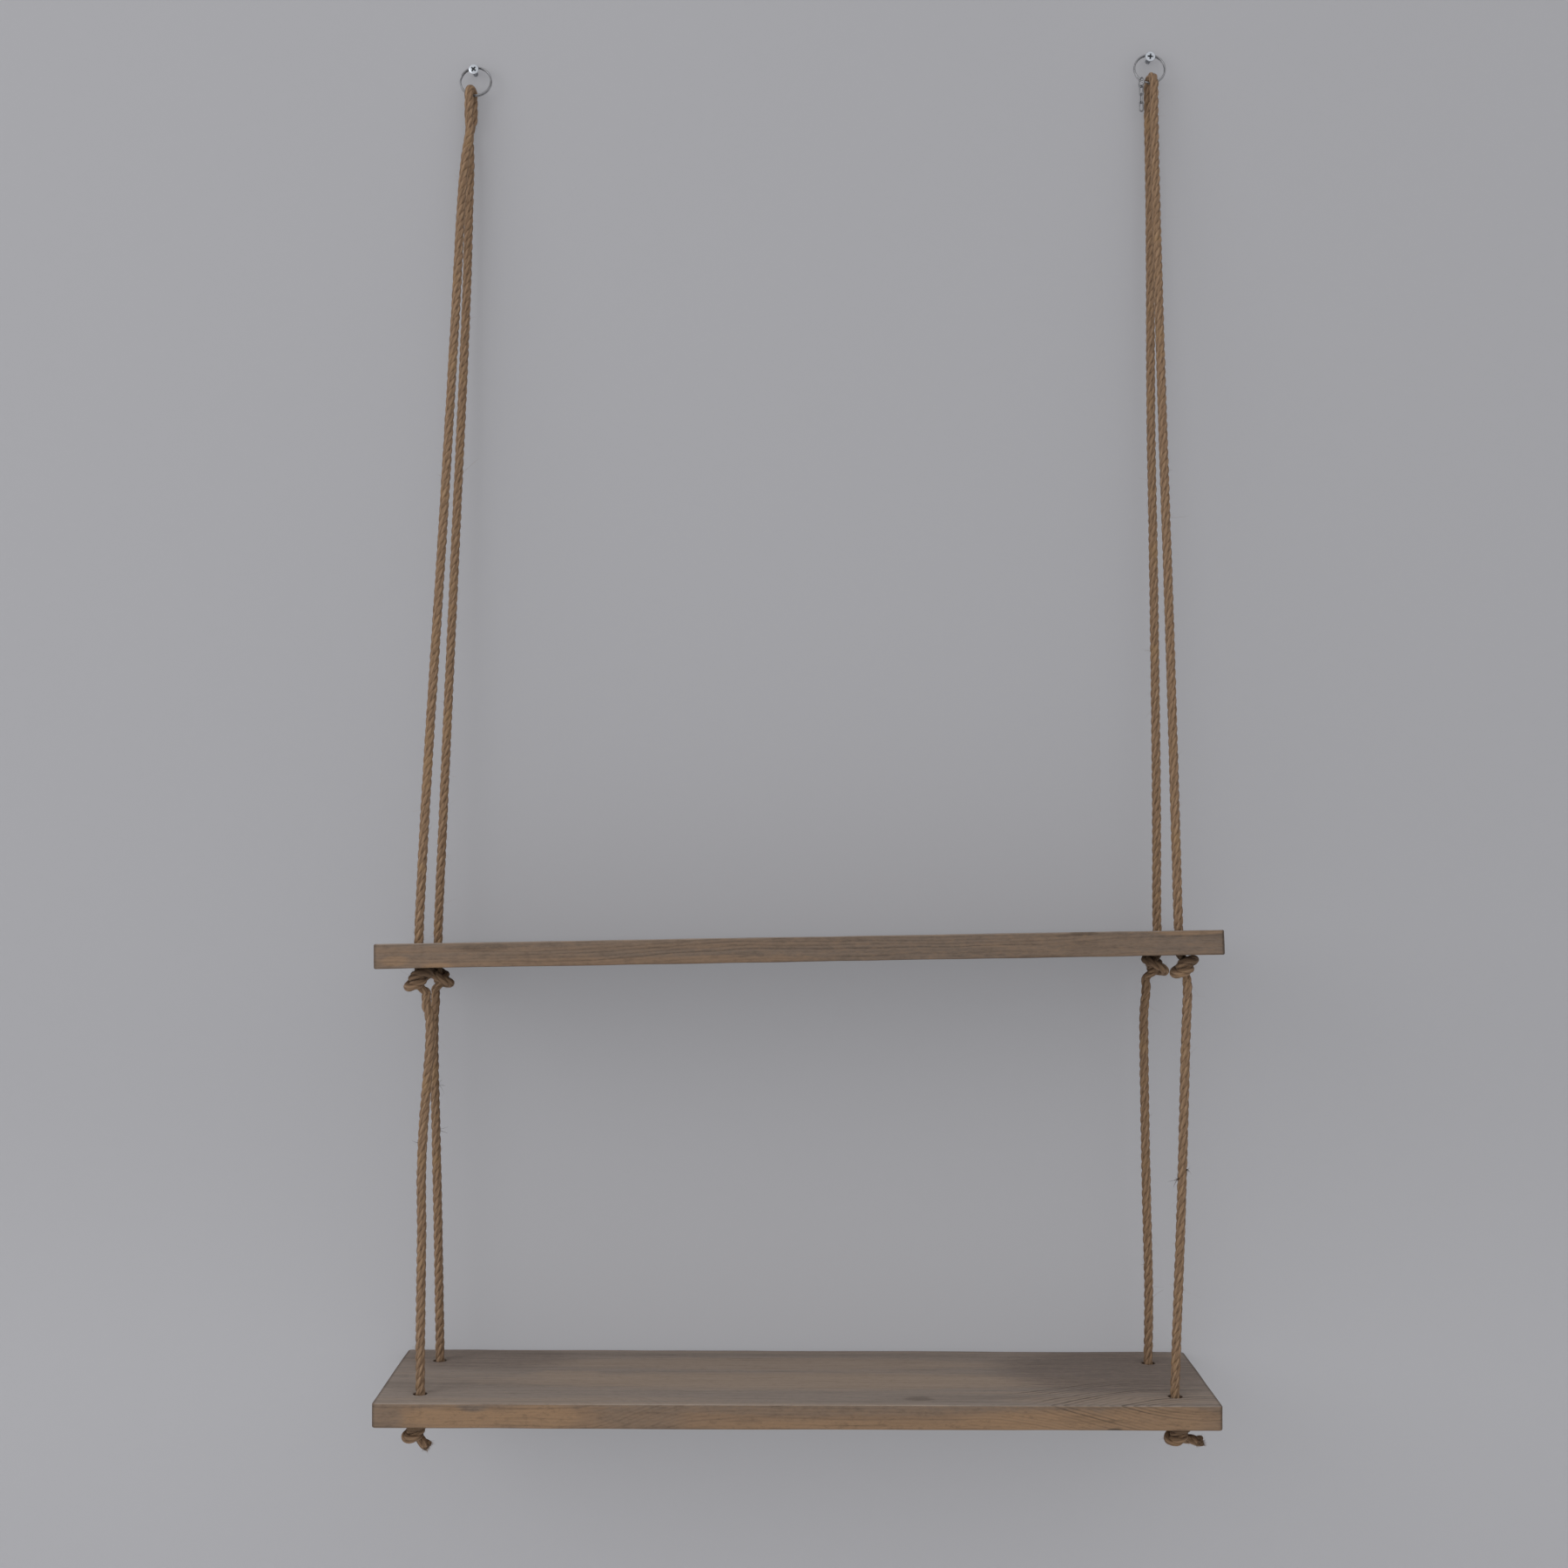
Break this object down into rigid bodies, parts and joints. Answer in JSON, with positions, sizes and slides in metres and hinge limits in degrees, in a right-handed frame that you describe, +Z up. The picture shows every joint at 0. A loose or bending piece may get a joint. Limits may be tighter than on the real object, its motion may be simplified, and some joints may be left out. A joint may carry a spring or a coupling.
{
  "type": "hanging rope shelf",
  "caption": "Wall shelf of two pine boards carried by knotted jute ropes, which loop through split rings on wall screws.",
  "frame": {"origin": "on the wall, midway between the two screws", "axes": "+Z up, +Y into the wall, +X to the right as seen by someone who faces the shelf; the front of the shelf faces -Y"},
  "size_m": [0.6015, 0.1762, 1.0421],
  "materials": {
    "zinc": "bright zinc plate",
    "steel": "nickelled steel",
    "jute": "three-strand twisted rope, hairy",
    "pine": "grey-brown stained pine, matt"
  },
  "bodies": {
    "wall_screws": {"left_wall_screw": "zinc", "right_wall_screw": "zinc"},
    "right_ring": {"right_split_ring": "steel"},
    "left_ring": {"left_split_ring": "steel"},
    "right_upper_ropes": {"right_rope_bight": "jute", "right_front_upper_rope": "jute", "right_back_upper_rope": "jute"},
    "left_upper_ropes": {"left_rope_bight": "jute", "left_front_upper_rope": "jute", "left_back_upper_rope": "jute"},
    "upper_shelf": {"upper_board": "pine", "left_front_upper_knot": "jute", "left_back_upper_knot": "jute", "right_front_upper_knot": "jute", "right_back_upper_knot": "jute"},
    "left_front_lower_leg": {"left_front_lower_rope": "jute"},
    "left_back_lower_leg": {"left_back_lower_rope": "jute"},
    "right_front_lower_leg": {"right_front_lower_rope": "jute"},
    "right_back_lower_leg": {"right_back_lower_rope": "jute"},
    "lower_shelf": {"lower_board": "pine", "left_front_lower_knot": "jute", "left_back_lower_knot": "jute", "right_front_lower_knot": "jute", "right_back_lower_knot": "jute"},
    "jump_ring": {"chain_jump_ring": "steel"},
    "link_1": {"chain_link_1": "steel"},
    "link_2": {"chain_link_2": "steel"},
    "link_3": {"chain_link_3": "steel"}
  },
  "joints": [
    {"name": "swing_out", "type": "hinge", "parent": "wall_screws", "child": "right_ring", "pos_m": [0.2605, -0.00549, 0.00823], "axis": [-0.9998, 0, -0.0187], "range_deg": [0, 25]},
    {"name": "left_swing_out", "type": "hinge", "parent": "wall_screws", "child": "left_ring", "pos_m": [-0.2592, -0.00547, -0.00147], "axis": [-0.9998, 0, -0.0187], "range_deg": [0, 25]},
    {"name": "sway", "type": "hinge", "parent": "right_ring", "child": "right_upper_ropes", "pos_m": [0.2614, -0.01038, -0.01476], "axis": [0, 1, 0], "range_deg": [-8, 8]},
    {"name": "left_sway", "type": "hinge", "parent": "left_ring", "child": "left_upper_ropes", "pos_m": [-0.26244, -0.01027, -0.02402], "axis": [0, 1, 0], "range_deg": [-8, 8]},
    {"name": "upper_level", "type": "hinge", "parent": "right_upper_ropes", "child": "upper_shelf", "pos_m": [0.2614, -0.078, -0.6682], "axis": [0, 1, 0], "range_deg": [-8, 8]},
    {"name": "lower_sway", "type": "hinge", "parent": "upper_shelf", "child": "left_front_lower_leg", "pos_m": [-0.27705, -0.12522, -0.70632], "axis": [0, 1, 0], "range_deg": [-6, 6]},
    {"name": "left_back_lower_sway", "type": "hinge", "parent": "upper_shelf", "child": "left_back_lower_leg", "pos_m": [-0.28546, -0.03708, -0.71309], "axis": [0, 1, 0], "range_deg": [-6, 6]},
    {"name": "right_front_lower_sway", "type": "hinge", "parent": "upper_shelf", "child": "right_front_lower_leg", "pos_m": [0.26678, -0.12453, -0.69714], "axis": [0, 1, 0], "range_deg": [-6, 6]},
    {"name": "right_back_lower_sway", "type": "hinge", "parent": "upper_shelf", "child": "right_back_lower_leg", "pos_m": [0.25259, -0.0364, -0.704], "axis": [0, 1, 0], "range_deg": [-6, 6]},
    {"name": "lower_level", "type": "hinge", "parent": "left_front_lower_leg", "child": "lower_shelf", "pos_m": [-0.28201, -0.1224, -0.9967], "axis": [0, 1, 0], "range_deg": [-6, 6]},
    {"name": "chain_swing", "type": "hinge", "parent": "right_ring", "child": "jump_ring", "pos_m": [0.25376, -0.00994, -0.01268], "axis": [-0.9397, -0.342, 0], "range_deg": [-10, 40]},
    {"name": "link_1_swing", "type": "hinge", "parent": "jump_ring", "child": "link_1", "pos_m": [0.25376, -0.00994, -0.01733], "axis": [-0.342, 0.9397, 0], "range_deg": [0, 50]},
    {"name": "link_2_swing", "type": "hinge", "parent": "link_1", "child": "link_2", "pos_m": [0.25376, -0.00994, -0.02328], "axis": [-0.9397, -0.342, 0], "range_deg": [-10, 40]},
    {"name": "link_3_swing", "type": "hinge", "parent": "link_2", "child": "link_3", "pos_m": [0.25376, -0.00994, -0.02923], "axis": [-0.342, 0.9397, 0], "range_deg": [-20, 50]}
  ],
  "couplings": [
    {"joint": "left_swing_out", "follows": "swing_out", "ratio": 1},
    {"joint": "left_sway", "follows": "sway", "ratio": 1},
    {"joint": "upper_level", "follows": "sway", "ratio": -1},
    {"joint": "left_back_lower_sway", "follows": "lower_sway", "ratio": 1},
    {"joint": "right_front_lower_sway", "follows": "lower_sway", "ratio": 1},
    {"joint": "right_back_lower_sway", "follows": "lower_sway", "ratio": 1},
    {"joint": "lower_level", "follows": "lower_sway", "ratio": -1}
  ]
}
